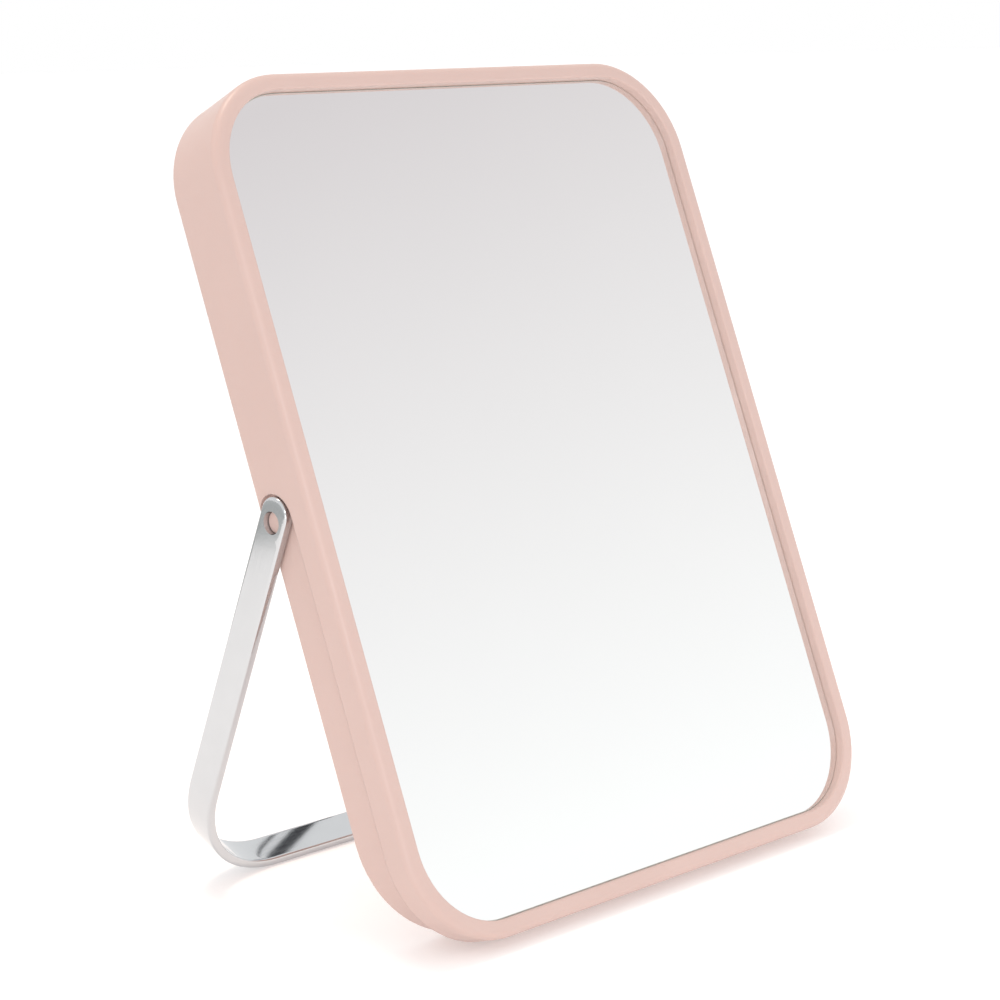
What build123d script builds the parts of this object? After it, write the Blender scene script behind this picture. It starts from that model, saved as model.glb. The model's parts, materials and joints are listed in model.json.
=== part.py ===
"""Table mirror with a fold-flat strap stand.

A moulded frame holds a sheet of mirror glass. A U-shaped steel strap swings on two studs in the
sides of the frame: folded, it lies in a recess around the lower half of the frame; opened, it
rests on a shoulder of that recess and stands the mirror up, leaning back.

Frame of the model: X across the mirror, -Y towards the person who looks into it, +Z up.
The mirror stands open on the plane z = 0, with the origin under the middle of its box.
"""
import os
from math import acos, atan2, cos, degrees, hypot, radians, sin, sqrt

from build123d import *

# ---------------------------------------------------------------- driving dimensions (mm)
OPENING_WIDTH = 150.0        # visible glass, across
OPENING_HEIGHT = 200.0       # visible glass, up the face
OPENING_RADIUS = 20.5
RIM_WIDTH = 4.35             # flat rim around the glass
CASE_DEPTH = 19.9            # front of the rim to the back face
SIDE_DRAFT = 3.0             # degrees, the sides narrow towards the back
FRONT_ROUND = 1.9
BACK_ROUND = 1.8
LIP_ROUND = 0.6

GLASS_SET_BACK = 2.5         # rim front to glass front
GLASS_THICKNESS = 3.0
GLASS_GAP = 0.15             # all round, inside the rim
GLASS_ARRIS = 0.25
FILM_THICKNESS = 0.2
FILM_SET_IN = 1.0
TAPE_THICKNESS = 0.8
TAPE_WIDTH = 12.0
TAPE_MARGIN = 4.0
WEB_THICKNESS = 1.6

HOLLOW_WALL = 2.0            # recess floor to the hollow behind the web
COVER_THICKNESS = 2.0
COVER_SET_IN = 0.4           # below the back edge of the frame
COVER_GAP = 0.3
RIB_THICKNESS = 1.4
RIB_HEIGHT = 3.0
RIB_PITCH = 34.0
RIB_MARGIN = 18.0
COVER_CHAMFER = 0.4

BOSS_DIAMETER = 6.5
BOSS_FLOOR = 1.6
SCREW_DIAMETER = 2.6
SCREW_CLEARANCE = 0.2
SCREW_LENGTH = 8.0
SCREW_HEAD_DIAMETER = 5.2
SCREW_HEAD_HEIGHT = 1.2
SCREW_HEAD_ROUND = 0.4
SCREW_COLUMN_PITCH = 124.0
SCREW_ROW_PITCH = 82.0
SLOT_LENGTH = 3.2            # cross recess in a screw head
SLOT_WIDTH = 0.8
SLOT_DEPTH = 0.6

RECESS_START = 7.8           # depth at which the strap recess begins
RECESS_INSET = 2.4           # recess floor, in from the widest part of the sides
RECESS_END_INSET = 3.4       # the same at the bottom of the frame
RECESS_RADIUS = 26.0         # corners of the recess floor
RECESS_ROUND = 1.2           # back edge of the recess floor
PIVOT_UP = 1.2               # above the middle of the face
PIVOT_DEPTH = 14.7

STRAP_WIDTH = 8.9
STRAP_THICKNESS = 2.3
STRAP_GAP = 0.3              # strap to recess floor
STRAP_END_GAP = 0.2          # strap end to recess, beside the stop
STRAP_EDGE_ROUND = 0.45
STRAP_END_OFFSET = 1.9       # centre of the rounded end beyond the hole
STRAP_HOLE_DIAMETER = 5.4
STAND_ANGLE = 45.0           # strap to face, opened on its stop
STOP_GAP = 0.15

STUD_CLEARANCE = 0.05        # radial, stud in strap
STUD_SET_BACK = 1.3          # stud end below the strap's outer face
STUD_FLANGE_DIAMETER = 9.0
STUD_FLANGE_THICKNESS = 1.5
STUD_FLAT_GAP = 0.1
STUD_END_ROUND = 0.4

OVERCUT = 5.0                # how far a cutting shape runs past what it cuts

# ---------------------------------------------------------------- derived sizes
case_width = OPENING_WIDTH + 2 * RIM_WIDTH
case_height = OPENING_HEIGHT + 2 * RIM_WIDTH
case_radius = OPENING_RADIUS + RIM_WIDTH

core_width = case_width - 2 * RECESS_INSET
core_height = case_height - 2 * RECESS_END_INSET
hollow_width = core_width - 2 * HOLLOW_WALL
hollow_height = core_height - 2 * HOLLOW_WALL
hollow_radius = RECESS_RADIUS - HOLLOW_WALL

film_depth = GLASS_SET_BACK + GLASS_THICKNESS
tape_depth = film_depth + FILM_THICKNESS
web_depth = tape_depth + TAPE_THICKNESS
cavity_depth = web_depth + WEB_THICKNESS
cover_back = CASE_DEPTH - COVER_SET_IN
cover_depth = cover_back - COVER_THICKNESS

glass_width = OPENING_WIDTH - 2 * GLASS_GAP
glass_height = OPENING_HEIGHT - 2 * GLASS_GAP
glass_radius = OPENING_RADIUS - GLASS_GAP

strap_inner_half = core_width / 2 + STRAP_GAP
strap_outer_half = strap_inner_half + STRAP_THICKNESS
strap_length = PIVOT_UP + core_height / 2 + STRAP_GAP + STRAP_THICKNESS
strap_bend_radius = RECESS_RADIUS + STRAP_GAP
strap_end = STRAP_END_OFFSET + STRAP_WIDTH / 2
stud_diameter = STRAP_HOLE_DIAMETER - 2 * STUD_CLEARANCE


def lean_back():
    """Angle in degrees at which the frame's back edge and the strap's foot touch one plane."""
    half_strap = STRAP_WIDTH / 2 - STRAP_EDGE_ROUND
    foot = strap_length - STRAP_EDGE_ROUND
    case_up = core_height / 2 - RECESS_ROUND + PIVOT_UP
    case_back = CASE_DEPTH - RECESS_ROUND - PIVOT_DEPTH
    c = cos(radians(STAND_ANGLE))
    s = sin(radians(STAND_ANGLE))
    along = case_up - foot * c - half_strap * s
    across = case_back - foot * s + half_strap * c
    surplus = STRAP_EDGE_ROUND - RECESS_ROUND
    reach = hypot(along, across)
    return degrees(acos(surplus / reach) - atan2(-across, along))


lean = lean_back()
up_y, up_z = sin(radians(lean)), cos(radians(lean))

# The middle of the rim's front plane, set so that the frame's back edge touches z = 0.
back_edge_up = -(core_height / 2 - RECESS_ROUND)
back_edge_depth = CASE_DEPTH - RECESS_ROUND
face_z = RECESS_ROUND - back_edge_up * up_z + back_edge_depth * up_y

# The box runs in Y from the rim's lower front corner to the strap's rear corner.
strap_swing = radians(STAND_ANGLE - lean)
front_round_up = -(case_height / 2 - FRONT_ROUND)
box_front_y = front_round_up * up_y + FRONT_ROUND * up_z - FRONT_ROUND
foot_round_far = strap_length - STRAP_EDGE_ROUND
foot_round_side = STRAP_WIDTH / 2 - STRAP_EDGE_ROUND
pivot_rel_y = PIVOT_UP * up_y + PIVOT_DEPTH * up_z
foot_y = pivot_rel_y + foot_round_far * sin(strap_swing) + foot_round_side * cos(strap_swing)
box_back_y = foot_y + STRAP_EDGE_ROUND
face_y = -(box_front_y + box_back_y) / 2

FACE = Plane(origin=(0, face_y, face_z), x_dir=(1, 0, 0), z_dir=(0, -up_z, up_y))


def at_depth(depth):
    """Plane parallel to the face, `depth` behind the front of the rim; its y runs up the face."""
    return FACE.offset(-depth)


def on_face(x, up, depth):
    """Point of the model at x across, `up` the face from its middle, `depth` behind the rim."""
    return FACE.from_local_coords((x, up, -depth))


# Side plane through the pivots: local x runs to the back of the case, local y up the face.
SIDE = Plane(origin=on_face(0, PIVOT_UP, PIVOT_DEPTH), x_dir=(0, up_z, -up_y), z_dir=(1, 0, 0))
# Planes of the opened strap: y runs from its foot to its pivots in both. STRAP's x runs across
# the mirror, and LEG_SIDE looks at the strap from the side.
leg_y, leg_z = sin(strap_swing), -cos(strap_swing)
STRAP = Plane(origin=SIDE.origin, x_dir=(1, 0, 0), z_dir=(0, leg_z, -leg_y))
LEG_SIDE = Plane(origin=SIDE.origin, x_dir=(0, -leg_z, leg_y), z_dir=(1, 0, 0))
BACK_TO_FRONT = Axis(FACE.origin, FACE.z_dir)

os.makedirs("parts", exist_ok=True)


def save(builder, name):
    """Label a finished piece and write it as its own STEP file."""
    builder.part.label = name
    export_step(builder.part, f"parts/{name}.step")


def at_screws():
    """Places of the six cover screws on a plane parallel to the face: two columns of three."""
    return GridLocations(SCREW_COLUMN_PITCH, SCREW_ROW_PITCH, 2, 3)


# ---------------------------------------------------------------- strap recess (cutting tool)
with BuildPart() as recess_core:
    with BuildSketch(at_depth(RECESS_START - OVERCUT)):
        RectangleRounded(core_width, core_height, RECESS_RADIUS)
    extrude(amount=-(CASE_DEPTH - RECESS_START + OVERCUT))
    fillet(recess_core.faces().sort_by(BACK_TO_FRONT)[0].edges(), RECESS_ROUND)

recess_front = RECESS_START - PIVOT_DEPTH
recess_beyond = CASE_DEPTH - PIVOT_DEPTH + OVERCUT
recess_top = STRAP_END_OFFSET + STRAP_WIDTH / 2 + STRAP_END_GAP
recess_bottom = -case_height
# The stop is a short flat against the opened strap's upper edge. It begins where the rounded
# strap end, folded, still clears it.
stop_y, stop_x = sin(radians(STAND_ANGLE)), cos(radians(STAND_ANGLE))
stop_distance = STRAP_WIDTH / 2 + STOP_GAP
end_to_stop = stop_distance - STRAP_END_OFFSET * stop_y
stop_run = sqrt((STRAP_WIDTH / 2 + STRAP_END_GAP) ** 2 - end_to_stop ** 2)
stop_start = (
    end_to_stop * stop_x + stop_run * stop_y,
    STRAP_END_OFFSET + end_to_stop * stop_y - stop_run * stop_x,
)
stop_end = (recess_beyond, (stop_distance - recess_beyond * stop_x) / stop_y)

with BuildPart() as recess_cut:
    with BuildSketch(SIDE):
        with BuildLine():
            TangentArc((0, recess_top), (recess_front, 0), tangent=(-1, 0))
            Polyline(
                (recess_front, 0),
                (recess_front, recess_bottom),
                (recess_beyond, recess_bottom),
                stop_end,
                stop_start,
            )
            TangentArc((0, recess_top), stop_start, tangent=(1, 0))
        make_face()
    extrude(amount=case_width, both=True)
    add(recess_core.part, mode=Mode.SUBTRACT)

# ---------------------------------------------------------------- mirror_frame
boss_height = cover_depth - cavity_depth

with BuildPart() as mirror_frame:
    with BuildSketch(at_depth(0)):
        RectangleRounded(case_width, case_height, case_radius)
    extrude(amount=-CASE_DEPTH, taper=SIDE_DRAFT)
    fillet(mirror_frame.faces().sort_by(BACK_TO_FRONT)[-1].edges(), FRONT_ROUND)
    fillet(mirror_frame.faces().sort_by(BACK_TO_FRONT)[0].edges(), BACK_ROUND)
    # Well for the glass, with a softened mouth.
    with BuildSketch(at_depth(0)):
        RectangleRounded(OPENING_WIDTH, OPENING_HEIGHT, OPENING_RADIUS)
    extrude(amount=-web_depth, mode=Mode.SUBTRACT)
    fillet(mirror_frame.faces().sort_by(BACK_TO_FRONT)[-1].inner_wires().edges(), LIP_ROUND)
    # Hollow back, behind the web that carries the glass.
    with BuildSketch(at_depth(cavity_depth)):
        RectangleRounded(hollow_width, hollow_height, hollow_radius)
    extrude(amount=-CASE_DEPTH, mode=Mode.SUBTRACT)
    add(recess_cut.part, mode=Mode.SUBTRACT)
    # Screw bosses with blind pilot holes.
    with BuildSketch(at_depth(cavity_depth)):
        with at_screws():
            Circle(BOSS_DIAMETER / 2)
    extrude(amount=-boss_height)
    with BuildSketch(at_depth(cover_depth)):
        with at_screws():
            Circle(SCREW_DIAMETER / 2)
    extrude(amount=boss_height - BOSS_FLOOR, mode=Mode.SUBTRACT)
    # Holes for the two pivot studs.
    with BuildSketch(SIDE):
        Circle(stud_diameter / 2)
    extrude(amount=case_width, both=True, mode=Mode.SUBTRACT)

save(mirror_frame, "mirror_frame")

# ---------------------------------------------------------------- mirror_glass, safety_film
with BuildPart() as mirror_glass:
    with BuildSketch(at_depth(GLASS_SET_BACK)):
        RectangleRounded(glass_width, glass_height, glass_radius)
    extrude(amount=-GLASS_THICKNESS)
    chamfer(mirror_glass.faces().filter_by(FACE).edges(), GLASS_ARRIS)

save(mirror_glass, "mirror_glass")

with BuildPart() as safety_film:
    with BuildSketch(at_depth(film_depth)):
        RectangleRounded(glass_width, glass_height, glass_radius)
        offset(amount=-FILM_SET_IN, mode=Mode.REPLACE)
    extrude(amount=-FILM_THICKNESS)

save(safety_film, "safety_film")


# ---------------------------------------------------------------- foam tapes
def foam_tape(name, x, up, width, height):
    """One strip of double-sided foam tape between the glass and the web."""
    strip_plane = Plane(origin=on_face(x, up, tape_depth), x_dir=FACE.x_dir, z_dir=FACE.z_dir)
    with BuildPart() as strip:
        with BuildSketch(strip_plane):
            Rectangle(width, height)
        extrude(amount=-TAPE_THICKNESS)
    save(strip, name)


tape_x = glass_width / 2 - TAPE_MARGIN - TAPE_WIDTH / 2
tape_up = glass_height / 2 - TAPE_MARGIN - TAPE_WIDTH / 2
across_length = glass_width - 2 * glass_radius
upright_length = glass_height - 2 * (TAPE_MARGIN + TAPE_WIDTH + TAPE_MARGIN)
foam_tape("foam_tape_top", 0, tape_up, across_length, TAPE_WIDTH)
foam_tape("foam_tape_bottom", 0, -tape_up, across_length, TAPE_WIDTH)
foam_tape("foam_tape_left", -tape_x, 0, TAPE_WIDTH, upright_length)
foam_tape("foam_tape_right", tape_x, 0, TAPE_WIDTH, upright_length)

# ---------------------------------------------------------------- rear_cover
cover_width = hollow_width - 2 * COVER_GAP
cover_height = hollow_height - 2 * COVER_GAP
cover_radius = hollow_radius - COVER_GAP

with BuildPart() as rear_cover:
    with BuildSketch(at_depth(cover_depth)):
        RectangleRounded(cover_width, cover_height, cover_radius)
    extrude(amount=-COVER_THICKNESS)
    chamfer(rear_cover.faces().sort_by(BACK_TO_FRONT)[0].edges(), COVER_CHAMFER)
    # Stiffening ribs on the inside.
    with BuildSketch(at_depth(cover_depth)):
        with GridLocations(RIB_PITCH, 0, 3, 1):
            Rectangle(RIB_THICKNESS, cover_height - 2 * RIB_MARGIN)
        with GridLocations(0, RIB_PITCH, 1, 3):
            Rectangle(2 * RIB_PITCH, RIB_THICKNESS)
    extrude(amount=RIB_HEIGHT)
    # Counterbored screw holes.
    with BuildSketch(at_depth(cover_depth)):
        with at_screws():
            Circle(SCREW_DIAMETER / 2 + SCREW_CLEARANCE)
    extrude(amount=-COVER_THICKNESS, mode=Mode.SUBTRACT)
    with BuildSketch(at_depth(cover_back)):
        with at_screws():
            Circle(SCREW_HEAD_DIAMETER / 2 + SCREW_CLEARANCE)
    extrude(amount=SCREW_HEAD_HEIGHT, mode=Mode.SUBTRACT)

save(rear_cover, "rear_cover")

# ---------------------------------------------------------------- cover_screws
with BuildPart() as cover_screws:
    with BuildSketch(at_depth(cover_back)):
        with at_screws():
            Circle(SCREW_HEAD_DIAMETER / 2)
    extrude(amount=SCREW_HEAD_HEIGHT)
    fillet(cover_screws.faces().group_by(BACK_TO_FRONT)[0].edges(), SCREW_HEAD_ROUND)
    with BuildSketch(at_depth(cover_back - SCREW_HEAD_HEIGHT)):
        with at_screws():
            Circle(SCREW_DIAMETER / 2)
    extrude(amount=SCREW_LENGTH)
    # Cross recess in each head.
    with BuildSketch(at_depth(cover_back)):
        with at_screws():
            Rectangle(SLOT_LENGTH, SLOT_WIDTH)
            Rectangle(SLOT_WIDTH, SLOT_LENGTH)
    extrude(amount=SLOT_DEPTH, mode=Mode.SUBTRACT)

save(cover_screws, "cover_screws")

# ---------------------------------------------------------------- pivot studs
wall_inside = hollow_width / 2
stud_reach = strap_outer_half - STUD_SET_BACK - wall_inside
flange_flat = cover_depth - STUD_FLAT_GAP - PIVOT_DEPTH


def pivot_stud(name, side):
    """Stud pushed through the side wall from inside; a flat on its flange stops it turning."""
    seat_origin = SIDE.origin + Vector(side * wall_inside, 0, 0)
    seat = Plane(origin=seat_origin, x_dir=SIDE.x_dir, z_dir=(side, 0, 0))
    with BuildPart() as stud:
        with BuildSketch(seat):
            Circle(stud_diameter / 2)
        extrude(amount=stud_reach)
        outer_end = stud.faces().sort_by(Axis.X)[-1 if side > 0 else 0]
        fillet(outer_end.edges(), STUD_END_ROUND)
        with BuildSketch(seat):
            Circle(STUD_FLANGE_DIAMETER / 2)
            with Locations((flange_flat + STUD_FLANGE_DIAMETER / 2, 0)):
                Rectangle(STUD_FLANGE_DIAMETER, 2 * STUD_FLANGE_DIAMETER, mode=Mode.SUBTRACT)
        extrude(amount=-STUD_FLANGE_THICKNESS)
    save(stud, name)


pivot_stud("pivot_stud_left", -1)
pivot_stud("pivot_stud_right", 1)

# ---------------------------------------------------------------- stand_strap
leg_top = strap_end + OVERCUT
strap_inner_length = strap_length - STRAP_THICKNESS

with BuildPart() as stand_strap:
    with BuildSketch(STRAP):
        with BuildLine():
            outside = FilletPolyline(
                (-strap_outer_half, leg_top),
                (-strap_outer_half, -strap_length),
                (strap_outer_half, -strap_length),
                (strap_outer_half, leg_top),
                radius=strap_bend_radius + STRAP_THICKNESS,
            )
            inside = FilletPolyline(
                (-strap_inner_half, leg_top),
                (-strap_inner_half, -strap_inner_length),
                (strap_inner_half, -strap_inner_length),
                (strap_inner_half, leg_top),
                radius=strap_bend_radius,
            )
            Line(outside @ 0, inside @ 0)
            Line(outside @ 1, inside @ 1)
        make_face()
    extrude(amount=STRAP_WIDTH / 2, both=True)
    # Round the two ends in side view.
    with BuildSketch(LEG_SIDE):
        with Locations((0, STRAP_END_OFFSET - strap_length)):
            Rectangle(STRAP_WIDTH, 2 * strap_length)
        with Locations((0, STRAP_END_OFFSET)):
            Circle(STRAP_WIDTH / 2)
    extrude(amount=case_width, both=True, mode=Mode.INTERSECT)
    fillet(stand_strap.edges(), STRAP_EDGE_ROUND)
    with BuildSketch(SIDE):
        Circle(STRAP_HOLE_DIAMETER / 2)
    extrude(amount=case_width, both=True, mode=Mode.SUBTRACT)

save(stand_strap, "stand_strap")

print("leans back", round(lean, 4), "degrees, strap foot to pivot", round(strap_length, 2))
print("pivot", [round(v, 4) for v in SIDE.origin])
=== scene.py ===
# %% [markdown]
# # A folding table mirror
#
# The mirror is a moulded pink frame with a sheet of silvered glass let into its front. A U-shaped
# strap of chromed steel turns on two studs in the sides of the frame and props it up from behind.
#
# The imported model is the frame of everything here: it fixes every size and place. What is added
# on top of it is the look: the punched and folded strap, the mirror glass with its ground edge,
# the screws, and a finish for every surface. All lengths are in metres.

import json
from math import cos, degrees, hypot, pi, radians, sin, sqrt

import bmesh
import bpy
from mathutils import Matrix, Quaternion, Vector


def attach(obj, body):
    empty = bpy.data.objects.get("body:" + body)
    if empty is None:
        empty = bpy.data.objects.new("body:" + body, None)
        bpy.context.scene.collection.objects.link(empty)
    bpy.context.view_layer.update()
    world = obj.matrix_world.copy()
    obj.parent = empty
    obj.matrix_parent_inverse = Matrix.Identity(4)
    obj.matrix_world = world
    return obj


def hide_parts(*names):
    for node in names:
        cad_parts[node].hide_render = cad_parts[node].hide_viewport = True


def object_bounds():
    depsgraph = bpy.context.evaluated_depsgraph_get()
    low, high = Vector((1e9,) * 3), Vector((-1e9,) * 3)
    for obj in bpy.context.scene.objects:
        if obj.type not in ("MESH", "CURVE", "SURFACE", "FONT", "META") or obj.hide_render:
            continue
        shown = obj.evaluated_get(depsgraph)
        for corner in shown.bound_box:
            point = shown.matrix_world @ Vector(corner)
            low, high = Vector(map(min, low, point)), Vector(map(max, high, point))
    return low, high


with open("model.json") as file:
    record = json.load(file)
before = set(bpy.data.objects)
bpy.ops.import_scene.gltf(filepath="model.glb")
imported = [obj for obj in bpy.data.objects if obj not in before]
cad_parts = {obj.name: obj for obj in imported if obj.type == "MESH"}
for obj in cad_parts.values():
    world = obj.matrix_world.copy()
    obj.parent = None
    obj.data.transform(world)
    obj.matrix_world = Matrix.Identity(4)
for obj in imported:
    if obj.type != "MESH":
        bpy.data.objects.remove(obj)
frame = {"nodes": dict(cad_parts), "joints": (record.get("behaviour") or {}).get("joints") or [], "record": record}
cad_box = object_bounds()
nodes = frame["nodes"]
print("nodes", sorted(nodes))
print("box in mm", [[round(v * 1000, 1) for v in corner] for corner in cad_box])

# %% [markdown]
# ## Directions
#
# The mirror leans back, so few of its edges follow X, Y or Z. Two unit vectors say how it
# stands: `outward` points from the glass to the person in front of it, and `upward` runs up the
# face. The record holds the first one, as the axis of the flat rim.

# %% Directions of the leaning face
mounts = {mount["name"]: mount for mount in frame["record"]["mounts"]}
across = Vector((1, 0, 0))
outward = Vector(mounts["front_rim"]["axis"]).normalized()
upward = outward.cross(across)
rim_plane = Vector(mounts["front_rim"]["pos_m"])
print("leans back by", round(degrees(outward.angle(Vector((0, -1, 0)))), 2), "degrees")

# %% [markdown]
# ## Sizes read off the model
#
# A CAD node's place is in its mesh, so any size can be measured: how far its points reach along
# a direction, from some point. That keeps copied numbers out of the shapes. If the model changes,
# the pieces made here change with it.

# %% A ruler for CAD nodes
def reach(node, direction, start=Vector((0, 0, 0)), where=lambda point: True):
    """Least and greatest distance of a node's points along a direction from a start point."""
    points = [v.co for v in nodes[node].data.vertices]
    lengths = [(p - start).dot(direction) for p in points if where(p)]
    return min(lengths), max(lengths)


glass_low, glass_high = reach("mirror_glass", upward)
face_centre = upward * (glass_low + glass_high) / 2 + outward * rim_plane.dot(outward)
glass_depth = -reach("mirror_glass", outward, face_centre)[1]


def face_point(x, up, depth):
    """Point at x across and `up` the face from its middle, `depth` behind the front of the rim."""
    return face_centre + across * x + upward * up - outward * depth


print("glass lies", round(glass_depth * 1000, 2), "mm behind the rim")

# %% [markdown]
# ## Finishes
#
# Every finish is a node tree on Object coordinates. The objects sit at the origin in metres, so
# a Noise scale of 1000 gives a pattern of about a millimetre. A small helper adds and joins
# nodes, so that each recipe below reads as a short list.


# %% Helpers for node trees
NOISE_RANGE = (0.3, 0.7)     # where most values of a Noise texture lie


def new_material(name):
    """Material with an empty tree but for a Principled shader and its output."""
    material = bpy.data.materials.new(name)
    material.use_nodes = True
    tree = material.node_tree
    tree.nodes.clear()
    shader = tree.nodes.new("ShaderNodeBsdfPrincipled")
    output = tree.nodes.new("ShaderNodeOutputMaterial")
    tree.links.new(shader.outputs["BSDF"], output.inputs["Surface"])
    return material, tree, shader


def add_node(tree, kind, inputs=None, **settings):
    """New node with its settings and input values; an input may be another node's socket."""
    node = tree.nodes.new(kind)
    for name, value in settings.items():
        setattr(node, name, value)
    for name, value in (inputs or {}).items():
        if isinstance(value, bpy.types.NodeSocket):
            tree.links.new(value, node.inputs[name])
        else:
            node.inputs[name].default_value = value
    return node


def noise(tree, coordinates, scale, detail=2.0, roughness=0.5):
    """Factor of a Noise texture at a scale in features per metre."""
    inputs = {"Vector": coordinates, "Scale": scale, "Detail": detail, "Roughness": roughness}
    return add_node(tree, "ShaderNodeTexNoise", inputs).outputs["Fac"]


def remap(tree, value, low, high):
    """Noise factor, stretched to run from low to high."""
    start, end = NOISE_RANGE
    inputs = {"Value": value, "From Min": start, "From Max": end, "To Min": low, "To Max": high}
    return add_node(tree, "ShaderNodeMapRange", inputs).outputs["Result"]


def add_bump(tree, shader, height, distance, strength=1.0, under=None):
    """Bump of a height socket, in metres; `under` is another bump's normal to lay it on."""
    inputs = {"Height": height, "Distance": distance, "Strength": strength}
    if under is not None:
        inputs["Normal"] = under
    normal = add_node(tree, "ShaderNodeBump", inputs).outputs["Normal"]
    tree.links.new(normal, shader.inputs["Normal"])
    return normal


def tint(tree, factor, dark, light):
    """Colour that runs from dark to light with a factor."""
    mix = add_node(tree, "ShaderNodeMix", data_type="RGBA")
    sockets = {socket.identifier: socket for socket in mix.inputs}
    tree.links.new(factor, sockets["Factor_Float"])
    sockets["A_Color"].default_value = (*dark, 1)
    sockets["B_Color"].default_value = (*light, 1)
    return next(socket for socket in mix.outputs if socket.identifier == "Result_Color")


def object_coordinates(tree):
    """Object coordinates, in metres from the middle of the mirror's foot."""
    return add_node(tree, "ShaderNodeTexCoord").outputs["Object"]


def coat(tree, shader, pattern, dark, light, smooth, rough, wear=None):
    """Colour and roughness that follow a pattern; `wear` is another one for the roughness."""
    tree.links.new(tint(tree, pattern, dark, light), shader.inputs["Base Color"])
    roughness = remap(tree, pattern if wear is None else wear, smooth, rough)
    tree.links.new(roughness, shader.inputs["Roughness"])


print("noise is taken from", *NOISE_RANGE)

# %% [markdown]
# ### Pink moulded plastic
#
# The shells are injection-moulded and coloured through, with a satin surface. Up close such a
# surface has a very fine grain from the mould, a faint cloudiness in its colour, and handling
# marks that make it a little glossier in places. The frame is smoother than the back panel, as
# moulds are polished more where people look first, so the grain's depth is an argument.
#
# The Bevel node turns the normals near a sharp edge, so the light catches it as it would catch a
# small radius.


# %% Pink plastic
PINK = (0.590, 0.427, 0.384)
CLOUDS = (0.965, 1.03)       # shares of the pink in its darkest and lightest clouds
HANDLED = (-0.05, 0.07)      # how handling marks change the roughness
SOFT_EDGE = 0.0004           # least radius that the mould gives to an edge
SINK_DEPTH = 0.00006         # broad shallow waves left by shrinking


def pink_plastic(name, grain_depth, gloss):
    """Satin plastic: cloudy colour, fine mould grain, soft handling marks."""
    material, tree, shader = new_material(name)
    place = object_coordinates(tree)
    cloud = noise(tree, place, 35, detail=3)
    dark, light = ([channel * share for channel in PINK] for share in CLOUDS)
    marks = noise(tree, place, 90, detail=5, roughness=0.65)
    coat(tree, shader, cloud, dark, light, gloss + HANDLED[0], gloss + HANDLED[1], wear=marks)
    rounded = add_node(tree, "ShaderNodeBevel", {"Radius": SOFT_EDGE}, samples=6).outputs["Normal"]
    waves = noise(tree, place, 22, detail=1)
    swell = add_bump(tree, shader, waves, SINK_DEPTH, strength=0.25, under=rounded)
    grain = noise(tree, place, 3200, detail=2, roughness=0.6)
    add_bump(tree, shader, grain, grain_depth, strength=0.5, under=swell)
    shader.inputs["Specular IOR Level"].default_value = 0.42
    shader.inputs["Subsurface Weight"].default_value = 0.08
    shader.inputs["Subsurface Radius"].default_value = (0.0015, 0.0009, 0.0007)
    return material


frame_pink = pink_plastic("frame_pink", 0.000012, 0.34)
cover_pink = pink_plastic("cover_pink", 0.00005, 0.52)
stud_pink = pink_plastic("stud_pink", 0.00001, 0.36)
print("plastics", frame_pink.name, cover_pink.name, stud_pink.name)

# %% [markdown]
# ### Chrome, zinc and silvering
#
# All three are metals, so their colour is the colour of what they reflect. They differ in how
# flat they are. The strap is rolled, then plated: it carries long faint lines along its length.
# Screws are tumbled and zinc plated, so they are dull and slightly blue. Silvering lies behind
# polished glass and is nearly perfect, but for a haze of dust and wiping marks.


# %% Strap chrome
ROLLING_LINES = (30, 5200, 1)    # few per metre along the strap, thousands across it


def strap_chrome():
    """Bright plating over rolled steel; U runs along the strap and V across it, in metres."""
    material, tree, shader = new_material("strap_chrome")
    flat = add_node(tree, "ShaderNodeUVMap", uv_map="blank").outputs["UV"]
    stretch = {"Vector": flat, "Scale": ROLLING_LINES}
    lines = add_node(tree, "ShaderNodeMapping", stretch).outputs["Vector"]
    rolled = noise(tree, lines, 1, detail=3, roughness=0.6)
    place = object_coordinates(tree)
    haze = noise(tree, place, 160, detail=4)
    shades = (0.595, 0.608, 0.622), (0.635, 0.648, 0.662)
    coat(tree, shader, haze, *shades, 0.07, 0.13, wear=rolled)
    peel = noise(tree, place, 420, detail=2)
    ripple = add_bump(tree, shader, peel, 0.00002, strength=0.12)
    add_bump(tree, shader, rolled, 0.000003, strength=0.35, under=ripple)
    shader.inputs["Metallic"].default_value = 1.0
    return material


chrome = strap_chrome()
print("strap is plated with", chrome.name)


# %% Zinc and silvering
def screw_zinc():
    """Tumbled zinc plate: dull, slightly blue, uneven."""
    material, tree, shader = new_material("screw_zinc")
    place = object_coordinates(tree)
    patches = noise(tree, place, 700, detail=4)
    coat(tree, shader, patches, (0.50, 0.52, 0.54), (0.66, 0.67, 0.69), 0.28, 0.42)
    add_bump(tree, shader, noise(tree, place, 4000), 0.00001, strength=0.4)
    shader.inputs["Metallic"].default_value = 1.0
    return material


def silvered_glass():
    """Mirror: almost perfectly smooth, with a trace of dust and wiping marks."""
    material, tree, shader = new_material("silvered_glass")
    place = object_coordinates(tree)
    wipes = noise(tree, place, 14, detail=5, roughness=0.7)
    coat(tree, shader, wipes, (0.905, 0.909, 0.907), (0.925, 0.929, 0.927), 0.008, 0.03)
    add_bump(tree, shader, noise(tree, place, 5, detail=1), 0.00004, strength=0.02)
    shader.inputs["Metallic"].default_value = 1.0
    return material


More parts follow.
